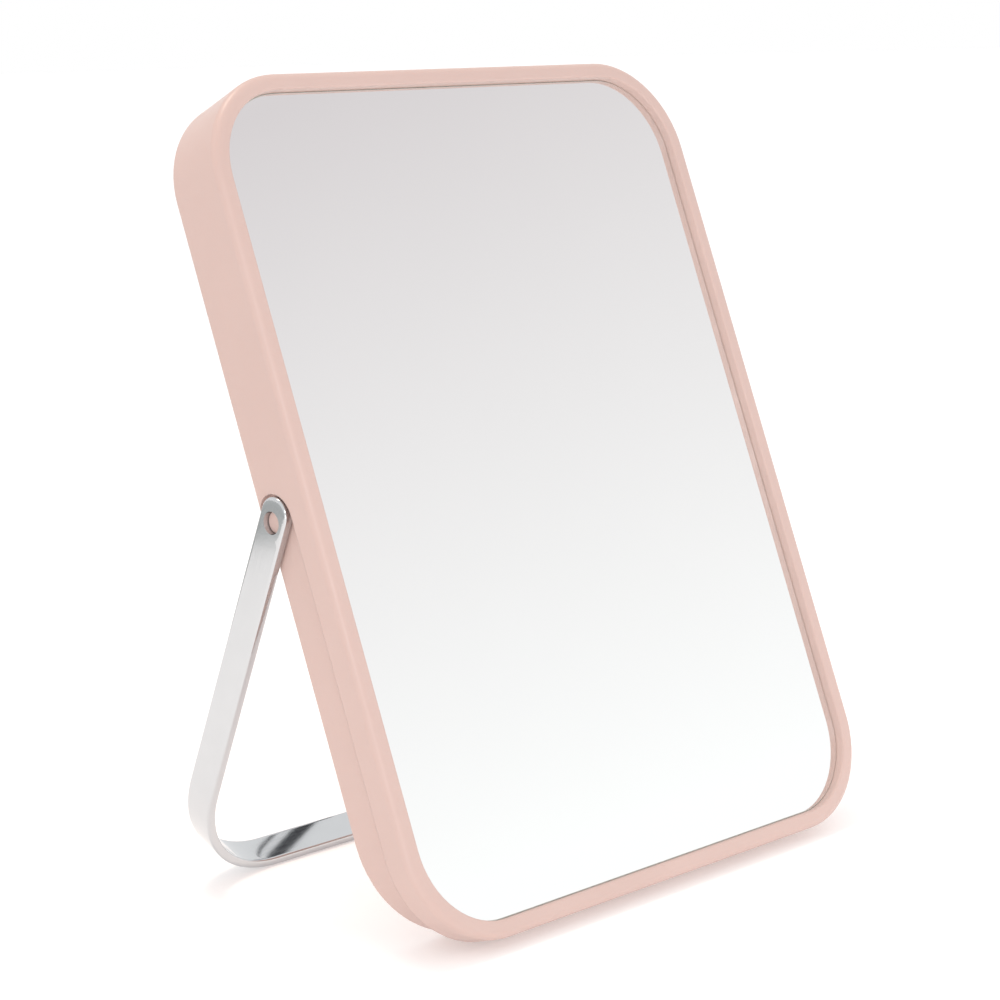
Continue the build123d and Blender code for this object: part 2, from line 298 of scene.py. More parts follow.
def ground_glass_edge():
    """Arris and edge of the glass: pale green where light runs through the sheet."""
    material, tree, shader = new_material("ground_glass_edge")
    place = object_coordinates(tree)
    shade = noise(tree, place, 260, detail=3)
    coat(tree, shader, shade, (0.56, 0.66, 0.62), (0.74, 0.81, 0.78), 0.12, 0.3)
    add_bump(tree, shader, noise(tree, place, 2600, detail=3), 0.00002, strength=0.3)
    shader.inputs["Specular IOR Level"].default_value = 0.6
    return material


zinc = screw_zinc()
silver = silvered_glass()
glass_edge = ground_glass_edge()
print("zinc and glass", zinc.name, silver.name, glass_edge.name)

# %% [markdown]
# ### Film, foam and paint
#
# Three finishes hide behind the glass. The film is a stretched white sheet, so it shows faint
# ripples; the tape is open foam, so it is matt and pitted; the paint that seals the silvering is
# rolled on.


# %% Film, foam and paint
def safety_film_white():
    """White plastic film with a slight ripple."""
    material, tree, shader = new_material("safety_film_white")
    place = object_coordinates(tree)
    stain, stretch = noise(tree, place, 60), noise(tree, place, 200)
    coat(tree, shader, stain, (0.80, 0.80, 0.78), (0.88, 0.88, 0.86), 0.25, 0.4, wear=stretch)
    add_bump(tree, shader, noise(tree, place, 120, detail=3), 0.0001, strength=0.3)
    return material


def foam_white():
    """Foam tape: matt, with small open cells whose pits are sunk by the bump and painted darker as painted shade.
    """
    material, tree, shader = new_material("foam_white")
    place = object_coordinates(tree)
    pores = add_node(tree, "ShaderNodeTexVoronoi", {"Vector": place, "Scale": 2400})
    pits_and_shade = pores.outputs["Distance"]
    # The cell pattern also paints each pit darker towards its bottom: painted shade in the pits.
    coat(tree, shader, pits_and_shade, (0.62, 0.62, 0.60), (0.84, 0.84, 0.82), 0.75, 0.95)
    add_bump(tree, shader, pits_and_shade, 0.00015, strength=0.8)
    return material


def backing_paint():
    """Grey paint that seals the back of the silvering, with faint roller marks."""
    material, tree, shader = new_material("backing_paint")
    place = object_coordinates(tree)
    coverage, nap = noise(tree, place, 300, detail=3), noise(tree, place, 900)
    coat(tree, shader, coverage, (0.26, 0.28, 0.28), (0.32, 0.34, 0.34), 0.45, 0.6, wear=nap)
    add_bump(tree, shader, noise(tree, place, 1500, detail=3), 0.00003, strength=0.4)
    return material


film = safety_film_white()
foam = foam_white()
backing = backing_paint()
print("hidden finishes", film.name, foam.name, backing.name)


# %% Finishes on the CAD nodes
def give(node, material):
    """Put one finish on every slot of a CAD node."""
    for slot in nodes[node].material_slots:
        slot.material = material


give("mirror_frame", frame_pink)
give("rear_cover", cover_pink)
give("pivot_stud_left", stud_pink)
give("pivot_stud_right", stud_pink)
give("safety_film", film)
for side in ("top", "bottom", "left", "right"):
    give("foam_tape_" + side, foam)
print("frame, panel, studs, film and tapes have their finishes")

# %% [markdown]
# ## The stand strap
#
# In the workshop this part starts as a flat blank: a strip of steel with round ends and two
# punched holes. The blank is then folded into a U. The same order works here. A flat mesh is
# easy to make well, with rings of faces around the holes, and its edges can be rounded while it
# is flat. A Geometry Nodes tree then lays the blank along a bent path, as the press does.
#
# Folding it this way, and not building a bent bar directly, also gives the steel its rolling
# lines for free: the blank's own flat measurements become a UV map that follows the bends.

# %% Strap sizes, read off the model
hinge = frame["joints"][0]
pivot = Vector(hinge["pos_m"])
fold = Quaternion(Vector(hinge["axis"]), radians(hinge["range_deg"][1]))
leg = fold.inverted() @ -upward
strap_side = leg.cross(across)

leg_length = reach("stand_strap", leg, pivot)[1]
end_length = -reach("stand_strap", leg, pivot)[0]
strap_width = reach("stand_strap", strap_side, pivot)[1] * 2
outer_half = reach("stand_strap", across, pivot)[1]



def near_pivot(point):
    """True for points at the right-hand pivot, where both faces of the strap are flat."""
    return (point - pivot).dot(leg) < end_length and point.x > 0


inner_half = reach("stand_strap", across, pivot, near_pivot)[0]
strap_thickness = outer_half - inner_half
corner_reach = reach("stand_strap", leg + across, pivot)[1]
bend_outside = (outer_half + leg_length - corner_reach) / (2 - sqrt(2))
off_axis = [v.co - pivot for v in nodes["stand_strap"].data.vertices]
hole_radius = min(hypot(p.dot(leg), p.dot(strap_side)) for p in off_axis)
print("strap", round(strap_width * 1000, 2), "x", round(strap_thickness * 1000, 2), "mm")
print("leg", round(leg_length * 1000, 2), "mm, bend", round(bend_outside * 1000, 2), "mm outside")
print("hole", round(hole_radius * 2000, 2), "mm across")

# %% [markdown]
# The neutral line runs through the middle of the thickness, and it keeps its length when the
# steel bends. So the blank's length is the length of that line: two legs, two quarter circles
# and the foot between them.

# %% Length of the flat blank
bend_middle = bend_outside - strap_thickness / 2
half_span = outer_half - strap_thickness / 2
leg_straight = leg_length - bend_outside
foot_straight = 2 * (half_span - bend_middle)
half_length = leg_straight + bend_middle * pi / 2 + foot_straight / 2
print("hole to hole along the blank", round(half_length * 2000, 1), "mm")

# %% [markdown]
# The blank is drawn around its holes. Each end is a ring of faces between the hole and the
# outline, found by sending rays out from the middle of the hole. Straight rays at 45 degrees hit
# the corners where the end meets the strip, so the two join without a seam.

# %% Out to the outline
HOLE_STEPS = 64              # rays around a hole
MIDDLE_RING = 0.4            # place of the ring between hole and outline, as a share of the way
STATION_LENGTH = 0.0016      # length of one row of faces along the strip
half_width = strap_width / 2


def outline_distance(angle):
    """From a hole's middle to the blank's outline; angle 0 points along the strip."""
    along, sideways = cos(angle), abs(sin(angle))
    if along >= sideways:
        return half_width / along
    end_centre = end_length - half_width
    side_hit = half_width / sideways
    if side_hit * along > -end_centre:
        return side_hit
    inside = end_centre * along
    return -inside + sqrt(inside ** 2 - end_centre ** 2 + half_width ** 2)


print("from a hole to the strip", round(outline_distance(0) * 1000, 2), "mm, to the end",
      round(outline_distance(pi) * 1000, 2), "mm")


# %% Faces around a hole
def end_rings(blank, start, direction):
    """Rings of faces around one hole; returns the vertices that meet the strip, in order of y."""
    inner, outer = [], []
    for step in range(HOLE_STEPS):
        angle = 2 * pi * step / HOLE_STEPS
        ray = Vector((direction * cos(angle), sin(angle), 0))
        inner.append(blank.verts.new(Vector((start, 0, 0)) + ray * hole_radius))
        outer.append(blank.verts.new(Vector((start, 0, 0)) + ray * outline_distance(angle)))
    middle = [blank.verts.new(i.co.lerp(o.co, MIDDLE_RING)) for i, o in zip(inner, outer)]
    for ring, next_ring in ((inner, middle), (middle, outer)):
        for step in range(HOLE_STEPS):
            after = (step + 1) % HOLE_STEPS
            blank.faces.new((ring[step], next_ring[step], next_ring[after], ring[after]))
    eighth = HOLE_STEPS // 8
    return [outer[step % HOLE_STEPS] for step in range(-eighth, eighth + 1)]


print(HOLE_STEPS, "rays, so", HOLE_STEPS // 4, "of them end on the strip")


# %% The flat blank
def flat_blank():
    """The punched strip, flat, with x along it and y across it."""
    blank = bmesh.new()
    left_edge = end_rings(blank, -half_length, 1)
    right_edge = end_rings(blank, half_length, -1)
    strip = 2 * (half_length - half_width)
    stations = round(strip / STATION_LENGTH)
    rows = [left_edge]
    for station in range(1, stations):
        x = -strip / 2 + strip * station / stations
        rows.append([blank.verts.new((x, v.co.y, 0)) for v in left_edge])
    rows.append(right_edge)
    for row, next_row in zip(rows, rows[1:]):
        for k in range(len(row) - 1):
            blank.faces.new((row[k], next_row[k], next_row[k + 1], row[k + 1]))
    bmesh.ops.recalc_face_normals(blank, faces=blank.faces)
    mesh = bpy.data.meshes.new("stand_strap_folded")
    blank.to_mesh(mesh)
    blank.free()
    return mesh


blank_mesh = flat_blank()
print("blank has", len(blank_mesh.polygons), "faces")

# %% [markdown]
# Solidify gives the blank its thickness and Bevel rolls its edges round. Both work on the flat
# part, where every edge is square and the result is easy to predict. The strip is rolled with
# round edges before the holes are punched, so only the outline is bevelled and the holes keep
# their sharp rims: each edge has a bevel weight, and the modifier reads it.
#
# A UV map in metres is written first, so it is carried through both.


# %% Baking and showing
def bake(obj, name):
    """Apply the object's modifiers: their result becomes its plain mesh."""
    graph = bpy.context.evaluated_depsgraph_get()
    mesh = bpy.data.meshes.new_from_object(obj.evaluated_get(graph), depsgraph=graph)
    mesh.name = name
    obj.modifiers.clear()
    obj.data = mesh


def show_object(name, mesh):
    """New object in the scene, at the origin."""
    obj = bpy.data.objects.new(name, mesh)
    bpy.context.scene.collection.objects.link(obj)
    return obj


# %% Thickness
uv = blank_mesh.uv_layers.new(name="blank")
for loop in blank_mesh.loops:
    place = blank_mesh.vertices[loop.vertex_index].co
    uv.data[loop.index].uv = (place.x, place.y)

strap = show_object("stand_strap_folded", blank_mesh)
solidify = strap.modifiers.new("thickness", "SOLIDIFY")
solidify.thickness = strap_thickness
solidify.offset = 0
bake(strap, "stand_strap_square")
print("square-edged blank has", len(strap.data.polygons), "faces")


# %% Rolled edges
SQUARE_EDGE = radians(60)    # edges that turn more than this are square
HOLE_MARGIN = 1.1            # edges this close to a hole, in hole radii, are its own
EDGE_ROLL = 0.22             # rolled edge, as a share of the thickness
ROLL_STEPS = 5


def mark_outline(mesh):
    """Give a bevel weight to the square edges of the outline, and none to those of the holes."""
    marked = bmesh.new()
    marked.from_mesh(mesh)
    weight = marked.edges.layers.float.new("bevel_weight_edge")
    count = 0
    for edge in marked.edges:
        middle = (edge.verts[0].co + edge.verts[1].co) / 2
        from_hole = hypot(abs(middle.x) - half_length, middle.y)
        if edge.calc_face_angle(0) > SQUARE_EDGE and from_hole > hole_radius * HOLE_MARGIN:
            edge[weight] = 1.0
            count += 1
    marked.to_mesh(mesh)
    marked.free()
    return count


print("outline edges", mark_outline(strap.data))
bevel = strap.modifiers.new("rolled_edges", "BEVEL")
bevel.width = strap_thickness * EDGE_ROLL
bevel.segments = ROLL_STEPS
bevel.limit_method = "WEIGHT"
bake(strap, "stand_strap_flat")
print("rolled blank has", len(strap.data.polygons), "faces")

# %% [markdown]
# ### Folding with Geometry Nodes
#
# The tree draws the neutral line as a poly line with four points, and Fillet Curve rounds its
# two corners. For every point of the blank, Sample Curve gives the place and the direction of
# the line at the point's own distance along it. The point is then set out from there: across the
# strap by its y, and through the thickness by its z.
#
# All sizes are inputs with names, so the same tree folds any U of this kind. The path starts a
# little above the pivot, so that the blank's rounded ends lie on it too.

# %% Helpers for Geometry Nodes
def new_tree(name, sizes):
    """Geometry tree with a geometry input and output, and one named float input for each size."""
    tree = bpy.data.node_groups.new(name, "GeometryNodeTree")
    tree.interface.new_socket("Geometry", in_out="INPUT", socket_type="NodeSocketGeometry")
    for size in sizes:
        tree.interface.new_socket(size, in_out="INPUT", socket_type="NodeSocketFloat")
    tree.interface.new_socket("Finish", in_out="INPUT", socket_type="NodeSocketMaterial")
    tree.interface.new_socket("Geometry", in_out="OUTPUT", socket_type="NodeSocketGeometry")
    return tree, tree.nodes.new("NodeGroupInput"), tree.nodes.new("NodeGroupOutput")


def run_tree(obj, tree, values):
    """Add the tree to an object as a modifier and fill its inputs, found by their names."""
    modifier = obj.modifiers.new(tree.name, "NODES")
    modifier.node_group = tree
    for item in tree.interface.items_tree:
        if item.item_type == "SOCKET" and item.in_out == "INPUT" and item.name in values:
            modifier[item.identifier] = values[item.name]


def vector(tree, x=0.0, y=0.0, z=0.0):
    """Vector from three values or sockets."""
    return add_node(tree, "ShaderNodeCombineXYZ", {"X": x, "Y": y, "Z": z}).outputs["Vector"]


def compute(tree, operation, a, b=0.0):
    """Result of a Math node."""
    node = tree.nodes.new("ShaderNodeMath")
    node.operation = operation
    for socket, value in zip(node.inputs, (a, b)):
        if isinstance(value, bpy.types.NodeSocket):
            tree.links.new(value, socket)
        else:
            socket.default_value = value
    return node.outputs["Value"]


def combine(tree, operation, a, b=None, scale=None):
    """Result of a Vector Math node."""
    node = tree.nodes.new("ShaderNodeVectorMath")
    node.operation = operation
    tree.links.new(a, node.inputs[0])
    if b is not None:
        tree.links.new(b, node.inputs[1])
    if scale is not None:
        tree.links.new(scale, node.inputs["Scale"])
    return node.outputs["Vector"]


def finish_with(tree, geometry, given, result):
    """End of every tree: real faces in place of instances, and the finish on them."""
    real = add_node(tree, "GeometryNodeRealizeInstances", {"Geometry": geometry})
    painted = {"Geometry": real.outputs["Geometry"], "Material": given.outputs["Finish"]}
    done = add_node(tree, "GeometryNodeSetMaterial", painted).outputs["Geometry"]
    tree.links.new(done, result.inputs["Geometry"])


print("trees end in Realize Instances and Set Material")


# %% The folding tree
BEND_POINTS = 90             # points of the path in each quarter circle
PATH_SPARE = 2               # how far the path starts above the pivot, in end lengths


def folding_tree():
    """Lays a flat blank along a U: x runs along the U, y across the strip, z out of it."""
    sizes = ("Half span", "Leg", "Beyond pivot", "Bend radius", "Half length")
    tree, given, result = new_tree("fold_into_u", sizes)
    span, beyond = given.outputs["Half span"], given.outputs["Beyond pivot"]
    foot = compute(tree, "MULTIPLY", given.outputs["Leg"], -1)
    left = compute(tree, "MULTIPLY", span, -1)
    corners = {
        "Point 1": vector(tree, left, 0.0, beyond),
        "Point 2": vector(tree, left, 0.0, foot),
        "Point 3": vector(tree, span, 0.0, foot),
        "Point 4": vector(tree, span, 0.0, beyond),
    }
    box = add_node(tree, "GeometryNodeCurvePrimitiveQuadrilateral", corners, mode="POINTS")
    cut = {"Geometry": box.outputs["Curve"], "Cyclic": False}
    opened = add_node(tree, "GeometryNodeSetSplineCyclic", cut).outputs["Geometry"]
    rounding = {"Curve": opened, "Radius": given.outputs["Bend radius"], "Count": BEND_POINTS}
    path = add_node(tree, "GeometryNodeFilletCurve", rounding, mode="POLY").outputs["Curve"]

    here = tree.nodes.new("GeometryNodeInputPosition").outputs["Position"]
    flat = add_node(tree, "ShaderNodeSeparateXYZ", {"Vector": here}).outputs
    from_left = compute(tree, "ADD", flat["X"], given.outputs["Half length"])
    along = compute(tree, "ADD", from_left, beyond)
    place = {"Curves": path, "Length": along}
    sample = add_node(tree, "GeometryNodeSampleCurve", place, mode="LENGTH").outputs
    sideways = vector(tree, 0.0, 1.0, 0.0)
    thickness_way = combine(tree, "CROSS_PRODUCT", sample["Tangent"], sideways)
    across_strip = combine(tree, "SCALE", sideways, scale=flat["Y"])
    through_strip = combine(tree, "SCALE", thickness_way, scale=flat["Z"])
    offset = combine(tree, "ADD", across_strip, through_strip)
    folded = combine(tree, "ADD", sample["Position"], offset)
    moved = {"Geometry": given.outputs["Geometry"], "Position": folded}
    bent = add_node(tree, "GeometryNodeSetPosition", moved).outputs["Geometry"]
    finish_with(tree, bent, given, result)
    return tree


fold_tree = folding_tree()
print("folding tree has", len(fold_tree.nodes), "nodes")

# %% The folded strap
CREASE = radians(50)         # edges that turn more than this stay sharp
strap_sizes = {
    "Half span": half_span,
    "Leg": leg_length - strap_thickness / 2,
    "Beyond pivot": end_length * PATH_SPARE,
    "Bend radius": bend_middle,
    "Half length": half_length,
    "Finish": chrome,
}
strap.data.shade_smooth()
strap.data.set_sharp_from_angle(angle=CREASE)
run_tree(strap, fold_tree, strap_sizes)
even = strap.modifiers.new("even_shading", "WEIGHTED_NORMAL")
even.keep_sharp = True
bake(strap, "stand_strap_folded")
# The tree leaves the strap hanging straight down. Here the leg's own direction takes the place
# of "down", so the strap lies where the joint holds it.
hang = Matrix((across, strap_side, -leg)).transposed().to_4x4()
strap.data.transform(Matrix.Translation(pivot) @ hang)

# %% [markdown]
# ## The mirror glass
#
# Glass cut to shape has a small ground bevel, an arris, along both of its edges, so that it can
# be handled. From the side the sheet looks pale green, because light has run a long way through
# it; from the front only the silvering shows. So the sheet is one mesh with three finishes:
# silver on the face, green on its edge, and paint on the back, where the silvering is sealed.
#
# Four rings of points are enough: two at the face, two at the back, each pair an arris apart.
# The sheet is a tenth of a millimetre wider all round than its CAD node, because a real one is
# pushed up to the wall of its well, where the CAD leaves a gap to assemble it.

# %% Sizes of the glass
SNUG = 0.0001                # wider than the CAD node by this, on every side
glass_width = (reach("mirror_glass", across)[1] + SNUG) * 2
glass_height = glass_high - glass_low + 2 * SNUG
glass_thickness = -reach("mirror_glass", outward, face_centre)[0] - glass_depth


def on_front(point):
    """True for points on the glass's front face, or within a sliver of it."""
    return (rim_plane - point).dot(outward) < glass_depth + glass_thickness / 50


arris = glass_width / 2 - SNUG - reach("mirror_glass", across, where=on_front)[1]
corner_far = reach("mirror_glass", across + upward, face_point(0, 0, 0))[1]
glass_radius = (glass_width / 2 + glass_height / 2 - 2 * SNUG - corner_far) / (2 - sqrt(2))
print("glass", round(glass_width * 1000, 1), "x", round(glass_height * 1000, 1), "mm, corners",
      round(glass_radius * 1000, 1), "mm, arris", round(arris * 1000, 2), "mm")


# %% A sheet with an arris
CORNER_STEPS = 20
FACE, EDGE, BACK = 0, 1, 2   # places of the finishes in the sheet's list


def rounded_outline(width, height, radius):
    """Points (x, up) around a rectangle with round corners."""
    points = []
    quarters = ((1, 1, 0), (-1, 1, 1), (-1, -1, 2), (1, -1, 3))
    for x_side, up_side, quarter in quarters:
        for step in range(CORNER_STEPS + 1):
            angle = (quarter + step / CORNER_STEPS) * pi / 2
            x = x_side * (width / 2 - radius) + radius * cos(angle)
            up = up_side * (height / 2 - radius) + radius * sin(angle)
            points.append((x, up))
    return points


def glass_sheet():
    """Closed sheet with ground edges."""
    sheet = bmesh.new()
    back_arris = glass_thickness - arris
    rings = []
    for inset, depth in ((arris, 0), (0, arris), (0, back_arris), (arris, glass_thickness)):
        size = (glass_width - 2 * inset, glass_height - 2 * inset, glass_radius - inset)
        places = [face_point(x, up, glass_depth + depth) for x, up in rounded_outline(*size)]
        rings.append([sheet.verts.new(place) for place in places])
    for ring, next_ring in zip(rings, rings[1:]):
        for k in range(len(ring)):
            after = (k + 1) % len(ring)
            face = sheet.faces.new((ring[k], ring[after], next_ring[after], next_ring[k]))
            face.material_index = EDGE
            face.smooth = True
    sheet.faces.new(rings[0]).material_index = FACE
    sheet.faces.new(rings[-1][::-1]).material_index = BACK
    bmesh.ops.recalc_face_normals(sheet, faces=sheet.faces)
    mesh = bpy.data.meshes.new("mirror_sheet")
    sheet.to_mesh(mesh)
    sheet.free()
    for material in (silver, glass_edge, backing):
        mesh.materials.append(material)
    mesh.set_sharp_from_angle(angle=radians(30))
    return mesh


glass = show_object("mirror_sheet", glass_sheet())
print("glass sheet has", len(glass.data.polygons), "faces")

# %% [markdown]
# ## Screws for the back panel
#
# Six pan-head screws with a cross recess hold the back panel. One screw is made well and then
# repeated. The shank is a spun profile whose radius also changes with the angle, which is all a
# thread is; the recess is cut with a tapered cross, as the header's punch leaves it.

# %% Screw places, read off the model
SCREW_SPACING = 0.01         # any two screws are further apart than this


def clusters(values, gap):
    """Middle and half length of each run of values with no gap longer than `gap`."""
    values = sorted(values)
    runs = [[values[0]]]
    for value in values[1:]:
        if value - runs[-1][-1] > gap:
            runs.append([])
        runs[-1].append(value)
    return [((run[0] + run[-1]) / 2, (run[-1] - run[0]) / 2) for run in runs]


screw_points = [v.co for v in nodes["cover_screws"].data.vertices]
columns = clusters([p.x for p in screw_points], SCREW_SPACING)
rows = clusters([(p - face_centre).dot(upward) for p in screw_points], SCREW_SPACING)
right_column = columns[-1][0]
head_radius = columns[0][1]
column_pitch = right_column - columns[0][0]
row_pitch = rows[1][0] - rows[0][0]
screw_back = -reach("cover_screws", outward, face_centre)[0]
screw_tip = -reach("cover_screws", outward, face_centre)[1]
print(len(columns), "columns,", len(rows), "rows, pitches", round(column_pitch * 1000, 1), "and",
      round(row_pitch * 1000, 1), "mm, head", round(head_radius * 2000, 2), "mm across")


# %% Head and shank
TIP_LENGTH = 0.0005          # part of the shank that is looked at for its radius
CLEAR_OF_SHANK = 1.3         # points further out than this, in shank radii, are on the head


def at_tip(point):
    """True for points near the tip of a screw."""
    return -(point - face_centre).dot(outward) < screw_tip + TIP_LENGTH


def outside_shank(point):
    """True for points of the right-hand screws that lie well outside their shanks."""
    return point.x > right_column + shank_radius * CLEAR_OF_SHANK


shank_radius = reach("cover_screws", across, Vector((right_column, 0, 0)), at_tip)[1]
head_under = -reach("cover_screws", outward, face_centre, outside_shank)[1]
head_height = screw_back - head_under
shank_length = head_under - screw_tip
print("shank", round(shank_radius * 2000, 2), "mm across and", round(shank_length * 1000, 2),
      "mm long, head", round(head_height * 1000, 2), "mm high")

# %% One screw
THREAD_PITCH = 0.0011
THREAD_DEPTH = 0.00032
THREAD_FLANK = 3             # how steeply the thread's sides fall
TURN_STATIONS = 8            # rings of points in each turn of the thread
TIP_TAPER = 0.0016           # length over which the tip comes to its point
TIP_SHARE = 0.12             # radius left at the very tip, so that it isn't a single point
SCREW_STEPS = 32             # points in each ring
CROWN = ((1.0, 0.0), (1.0, 0.35), (0.985, 0.55), (0.93, 0.74), (0.82, 0.88), (0.62, 0.97),
         (0.3, 1.0))         # profile of the head, as shares of its radius and height


def thread_radius(z, angle):
    """Radius of the threaded, pointed shank at a height and an angle."""
    turn = (z / THREAD_PITCH - angle / (2 * pi)) % 1
    groove = min(abs(turn - 0.5) * THREAD_FLANK, 1)
    taper = min((z + shank_length) / TIP_TAPER, 1)
    return (shank_radius - THREAD_DEPTH * groove) * max(taper, TIP_SHARE)


def spin_screw():
    """Pan-head screw along z, its head from z = 0 upwards."""
    angles = [2 * pi * k / SCREW_STEPS for k in range(SCREW_STEPS)]
    stations = round(shank_length / THREAD_PITCH * TURN_STATIONS)
    heights = [-shank_length * (1 - station / stations) for station in range(stations + 1)]
    profile = [(z, [thread_radius(z, angle) for angle in angles]) for z in heights]
    for share, height in CROWN:
        profile.append((height * head_height, [share * head_radius] * SCREW_STEPS))
    screw = bmesh.new()
    rings = []
    for z, radii in profile:
        places = [(r * cos(angle), r * sin(angle), z) for r, angle in zip(radii, angles)]
        rings.append([screw.verts.new(place) for place in places])
    for ring, next_ring in zip(rings, rings[1:]):
        for k in range(SCREW_STEPS):
            after = (k + 1) % SCREW_STEPS
            screw.faces.new((ring[k], ring[after], next_ring[after], next_ring[k]))
    screw.faces.new(rings[0][::-1])
    screw.faces.new(rings[-1])
    bmesh.ops.recalc_face_normals(screw, faces=screw.faces)
    mesh = bpy.data.meshes.new("one_screw")
    screw.to_mesh(mesh)
    screw.free()
    return mesh


screws = show_object("cover_screws_made", spin_screw())
print("one screw has", len(screws.data.polygons), "faces")


# %% Its cross recess
CROSS_LENGTH, CROSS_WIDTH = 1.25, 0.34    # in head radii
CROSS_DEPTH = 0.7            # in head heights
CROSS_TAPER = 0.55           # size of its bottom, as a share of its top
CROSS_TOP = 1.05             # where the cutter starts, above the head, in head heights


def cross_cutter(length, width, depth):
    """Tapered cross, wide at the top of the head and narrow at its bottom."""
    a, b = width / 2, length / 2
    outline = [(a, a), (a, b), (-a, b), (-a, a), (-b, a), (-b, -a),
               (-a, -a), (-a, -b), (a, -b), (a, -a), (b, -a), (b, a)]
    cutter = bmesh.new()
    top = [cutter.verts.new((x, y, head_height * CROSS_TOP)) for x, y in outline]
    low = [cutter.verts.new((x * CROSS_TAPER, y * CROSS_TAPER, head_height - depth))
           for x, y in outline]
    for k in range(len(outline)):
        after = (k + 1) % len(outline)
        cutter.faces.new((top[k], top[after], low[after], low[k]))
    cutter.faces.new(top)
    cutter.faces.new(low)
    bmesh.ops.triangulate(cutter, faces=cutter.faces)
    bmesh.ops.recalc_face_normals(cutter, faces=cutter.faces)
    mesh = bpy.data.meshes.new("cross_cutter")
    cutter.to_mesh(mesh)
    cutter.free()
    return mesh


cross_size = (head_radius * CROSS_LENGTH, head_radius * CROSS_WIDTH, head_height * CROSS_DEPTH)
cutter = show_object("cross_cutter", cross_cutter(*cross_size))
recess = screws.modifiers.new("cross_recess", "BOOLEAN")
recess.operation = "DIFFERENCE"
recess.solver = "EXACT"
recess.object = cutter
bake(screws, "one_screw_cut")
bpy.data.objects.remove(cutter)
print("with its recess it has", len(screws.data.polygons), "faces")

# %% [markdown]
# The screws stand on a grid of two columns and three rows, so a tree with a Mesh Grid and
# Instance on Points sets them out. No two screws stop at the same angle when they are driven
# home; a Random Value with a fixed seed turns each of them.


# %% Setting out the screws
SCREW_CREASE = radians(38)   # edges that turn more than this stay sharp
TURN_SEED = 7.0


def grid_tree():
    """Repeats its geometry on a grid, each copy turned about its own axis."""
    tree, given, result = new_tree("screws_on_grid", ("Width", "Height", "Turn seed"))
    size = {"Size X": given.outputs["Width"], "Size Y": given.outputs["Height"]}
    count = {"Vertices X": len(columns), "Vertices Y": len(rows)}
    grid = add_node(tree, "GeometryNodeMeshGrid", {**size, **count})
    turn = add_node(tree, "FunctionNodeRandomValue", data_type="FLOAT_VECTOR")
    turn.inputs["Min"].default_value = (0, 0, 0)
    turn.inputs["Max"].default_value = (0, 0, pi)
    tree.links.new(given.outputs["Turn seed"], turn.inputs["Seed"])
    placed = {
        "Points": grid.outputs["Mesh"],
        "Instance": given.outputs["Geometry"],
        "Rotation": turn.outputs["Value"],
    }
    copies = add_node(tree, "GeometryNodeInstanceOnPoints", placed).outputs["Instances"]
    finish_with(tree, copies, given, result)
    return tree


grid_sizes = {
    "Width": column_pitch,
    "Height": row_pitch * (len(rows) - 1),
    "Turn seed": TURN_SEED,
    "Finish": zinc,
}
run_tree(screws, grid_tree(), grid_sizes)
bake(screws, "cover_screws_made")
screws.data.shade_smooth()
screws.data.set_sharp_from_angle(angle=SCREW_CREASE)
backward = -outward
out_of_back = Matrix((across, backward.cross(across), backward)).transposed().to_4x4()
middle_row = rows[len(rows) // 2][0]
screws.data.transform(Matrix.Translation(face_point(0, middle_row, head_under)) @ out_of_back)
print("six screws have", len(screws.data.polygons), "faces")

# %% [markdown]
# ## Which body each piece rides on
#
# The strap turns on the hinge, so it rides on the strap's body. The glass and the screws ride on
# the case. Each of them takes the place of the CAD node with the same job.

# %% Bodies, nodes and material slots
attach(strap, "stand")
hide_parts("stand_strap")

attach(glass, "case")
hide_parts("mirror_glass")

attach(screws, "case")
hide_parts("cover_screws")
print("pieces", [piece.name for piece in (strap, glass, screws)])

# %% [markdown]
# ## The studio
#
# A white floor runs out of view under a white sky. Both are bright enough to read as white, so
# only the soft contact shadows show where the object stands. The floor also glows a little, and
# warmly: that lifts the shadows and gives them the tinge of the pink above them.


# %% Floor and sky
FLOOR_SIZE = 60              # wide enough that its edge is never in view


def stage_plane(name, centre, x_way, y_way, width, height, material):
    """Flat rectangle for the floor or for a card that the glossy pieces reflect."""
    signs = ((-1, -1), (1, -1), (1, 1), (-1, 1))
    corners = [centre + x_way * (width / 2 * i) + y_way * (height / 2 * j) for i, j in signs]
    mesh = bpy.data.meshes.new(name)
    mesh.from_pydata([tuple(c) for c in corners], [], [(0, 1, 2, 3)])
    mesh.materials.append(material)
    obj = show_object(name, mesh)
    return obj


floor_white, _, shader = new_material("floor_white")
floor_look = {
    "Base Color": (0.81, 0.81, 0.81, 1),
    "Roughness": 0.6,
    "Specular IOR Level": 0.2,
    "Emission Color": (1, 0.93, 0.91, 1),
    "Emission Strength": 0.27,
}
for name, value in floor_look.items():
    shader.inputs[name].default_value = value
flat_ways = Vector((1, 0, 0)), Vector((0, 1, 0))
stage_plane("floor", Vector((0, 0, 0)), *flat_ways, FLOOR_SIZE, FLOOR_SIZE, floor_white)

world = bpy.data.worlds.new("white_sky")
bpy.context.scene.world = world
world.use_nodes = True
sky = world.node_tree.nodes["Background"].inputs
sky["Color"].default_value = (1, 1, 1, 1)
sky["Strength"].default_value = 1.0
bpy.context.scene.view_settings.view_transform = "Standard"
print("floor and sky ready")

# %% [markdown]
# ### Soft light
#
# The sky does most of the work, and four small lights shape what it leaves flat. The front light
# comes from the upper left, where it draws a fine highlight along the edge of the frame. Two low
# lights brighten the foot of the frame, and a warm one from above brightens its top.
#
# Only the top light casts a shadow, because the others would draw hard edges on the floor. The
# right-hand light is near enough to show in the mirror, so it is hidden from reflections.


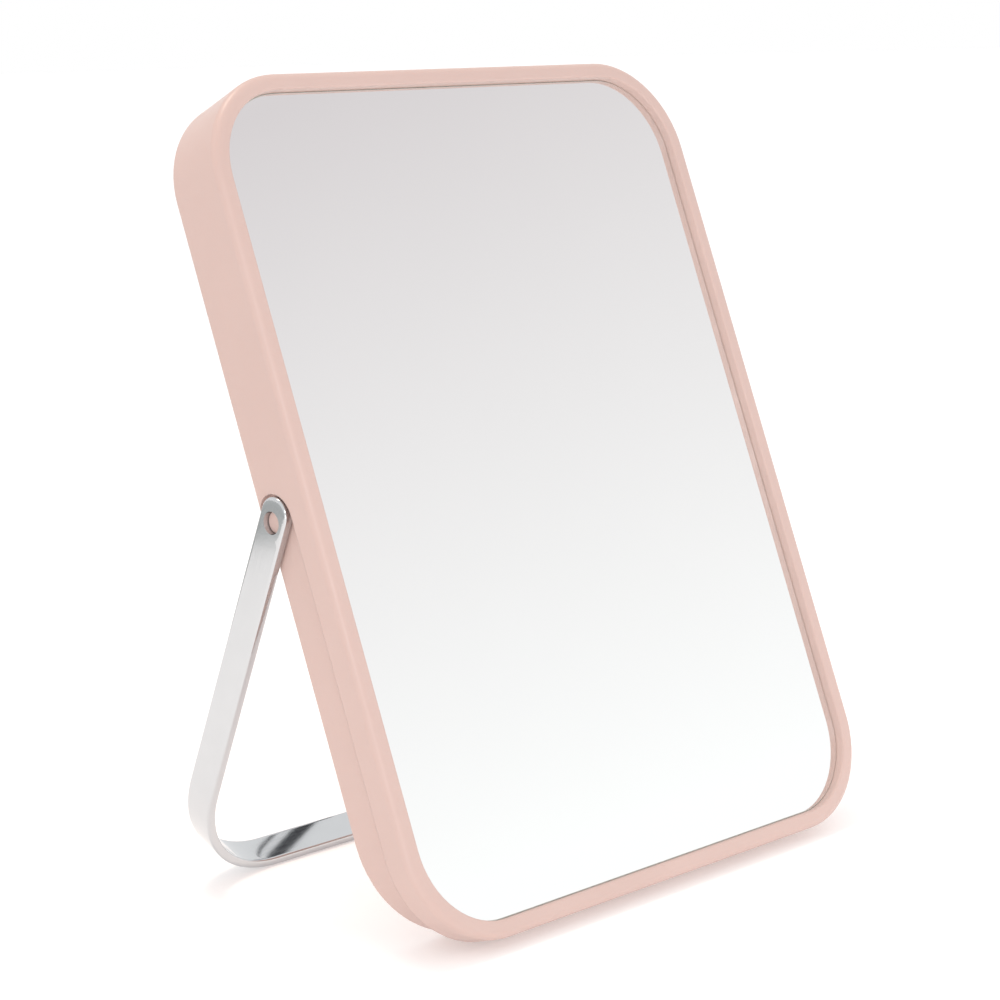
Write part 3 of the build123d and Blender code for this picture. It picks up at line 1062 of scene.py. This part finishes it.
# %% Soft lights
def soft_light(name, place, target, size, power, colour=(1, 1, 1), shadow=False):
    """Square area light of so many watts that faces a point, hidden from the camera."""
    light = bpy.data.lights.new(name, "AREA")
    light.shape = "SQUARE"
    light.size = size
    light.energy = power
    light.use_shadow = shadow
    light.color = colour
    obj = bpy.data.objects.new(name, light)
    facing = (target - place).to_track_quat("-Z", "Y").to_matrix().to_4x4()
    obj.matrix_world = Matrix.Translation(place) @ facing
    obj.visible_camera = False
    bpy.context.scene.collection.objects.link(obj)
    return obj


object_middle = (cad_box[0] + cad_box[1]) / 2
foot_middle = Vector((0, -0.03, 0.02))
foot_corner = Vector((0.07, -0.04, 0.02))
WARM = (1.0, 0.84, 0.70)
soft_light("front_light", Vector((-0.64, -0.62, 0.42)), object_middle, 0.14, 1.2)
soft_light("low_light", Vector((-0.42, -0.42, 0.03)), foot_middle, 0.2, 0.3)
right_light = soft_light("right_light", Vector((0.17, -0.26, 0.03)), foot_corner, 0.15, 0.09)
right_light.visible_glossy = False
soft_light("top_light", Vector((-0.08, 0.22, 0.95)), object_middle, 0.25, 2.3, WARM, shadow=True)

# %% [markdown]
# ### Cards for the reflections
#
# Polished things look like their surroundings. The mirror shows a card that goes from pale grey
# at the top of the glass to white at the bottom, and a grey card and two narrow dark ones give
# the chrome its depth. They are hidden from the camera, light nothing that is matt and cast no
# shadow, so they exist for reflections only.


# %% Reflection cards
def card_material(name, way, start, end, start_shade, end_shade):
    """Glowing card whose shade runs along a direction, from one distance to another in metres."""
    material = bpy.data.materials.new(name)
    material.use_nodes = True
    tree = material.node_tree
    tree.nodes.clear()
    measure = add_node(tree, "ShaderNodeVectorMath", operation="DOT_PRODUCT")
    tree.links.new(object_coordinates(tree), measure.inputs[0])
    measure.inputs[1].default_value = way
    inputs = {"Value": measure.outputs["Value"], "From Min": start, "From Max": end}
    share = add_node(tree, "ShaderNodeMapRange", inputs).outputs["Result"]
    shade = tint(tree, share, start_shade, end_shade)
    glow = add_node(tree, "ShaderNodeEmission", {"Color": shade})
    output = tree.nodes.new("ShaderNodeOutputMaterial")
    tree.links.new(glow.outputs["Emission"], output.inputs["Surface"])
    return material


def reflection_card(name, point, direction, distance, width, height, material):
    """Card that faces a point from a direction, seen in reflections only."""
    direction = direction.normalized()
    x_way = Vector((0, 0, 1)).cross(direction).normalized()
    y_way = direction.cross(x_way)
    card = stage_plane(name, point + direction * distance, x_way, y_way, width, height, material)
    card.visible_camera = False
    card.visible_diffuse = False
    card.visible_shadow = False


print("card helpers ready")

# %% [markdown]
# ### Camera
#
# The camera looks down a little at the mirror, from its left and from about the height of its
# top. A long lens keeps the frame's sides nearly straight. The camera's direction and its
# right-hand side are given as vectors, and the third axis follows from them.

# %% Camera
camera_place = Vector((-0.43855, -0.44612, 0.20310))
camera_forward = Vector((0.68357, 0.70843, -0.17565)).normalized()
camera_right = Vector((0.71627, -0.69737, -0.02512)).normalized()
camera = bpy.data.cameras.new("camera")
camera.lens = 91.35
camera.sensor_width = 36
camera.clip_start = 0.01
camera_object = bpy.data.objects.new("camera", camera)
camera_up = camera_right.cross(camera_forward)
turned = Matrix((camera_right, camera_up, -camera_forward)).transposed().to_4x4()
camera_object.matrix_world = Matrix.Translation(camera_place) @ turned
bpy.context.scene.collection.objects.link(camera_object)
bpy.context.scene.camera = camera_object
print("camera", round((camera_place - object_middle).length, 3), "m from the middle of the object")

# %% [markdown]
# ### Where the cards go
#
# A ray from the camera bounces off a flat face as a ball does off a wall. Following it from the
# camera to the glass and on says where a card has to hang for the camera to see it in the
# mirror. The same law places the cards that show in the strap's leg and in its foot.

# %% A card for the glass
CARD_DISTANCE, CARD_WIDTH, CARD_HEIGHT = 1.2, 1.6, 1.3
SLANT = 0.16                 # how far the shade's direction leans from the vertical
SHADE_START, SHADE_LENGTH = -0.25, 0.55    # where the shade runs, from the card's middle
LOW_SHADE, HIGH_SHADE = (1.088, 1.10, 1.095), (0.745, 0.708, 0.718)
vertical = Vector((0, 0, 1))


def mirrored(place, normal):
    """Direction in which the camera looks on after a reflection at a place."""
    direction = (place - camera_place).normalized()
    return direction - 2 * direction.dot(normal) * normal


glass_middle = face_point(0, 0, glass_depth)
seen_in_glass = mirrored(glass_middle, outward)
sideways = vertical.cross(seen_in_glass).normalized()
upwards = vertical + sideways * SLANT
low = (glass_middle + seen_in_glass * CARD_DISTANCE).dot(upwards) + SHADE_START
glass_card = card_material("glass_card", upwards, low, low + SHADE_LENGTH, LOW_SHADE, HIGH_SHADE)
reflection_card("glass_card", glass_middle, seen_in_glass, CARD_DISTANCE, CARD_WIDTH, CARD_HEIGHT,
                glass_card)
print("glass reflects towards", [round(v, 3) for v in seen_in_glass])

# %% Cards for the chrome
GREY_DISTANCE, GREY_WIDTH, GREY_HEIGHT = 0.49, 0.7, 0.16
GREY_START, GREY_END = 0.02, 0.06    # heights between which the grey card changes shade
GREYS = (0.56, 0.57, 0.56), (0.62, 0.63, 0.62)
DARK = (0.05, 0.052, 0.058)
DARK_DISTANCE, DARK_HEIGHT = 0.045, 0.03
DARK_BANDS = ((0.56, 0.0034), (0.69, 0.0010))    # place along the half foot, and card's width

strap_outside = pivot - across * outer_half
grey_card = card_material("grey_card", vertical, GREY_START, GREY_END, *GREYS)
reflection_card("grey_card", strap_outside, mirrored(strap_outside, -across), GREY_DISTANCE,
                GREY_WIDTH, GREY_HEIGHT, grey_card)

black_card = card_material("black_card", across, -1.0, 1.0, DARK, DARK)
foot_top = pivot + leg * (leg_length - strap_thickness)
for number, (share, width) in enumerate(DARK_BANDS):
    foot = foot_top - across * half_span * share
    reflection_card(f"black_card_{number}", foot, mirrored(foot, -leg), DARK_DISTANCE, width,
                    DARK_HEIGHT, black_card)
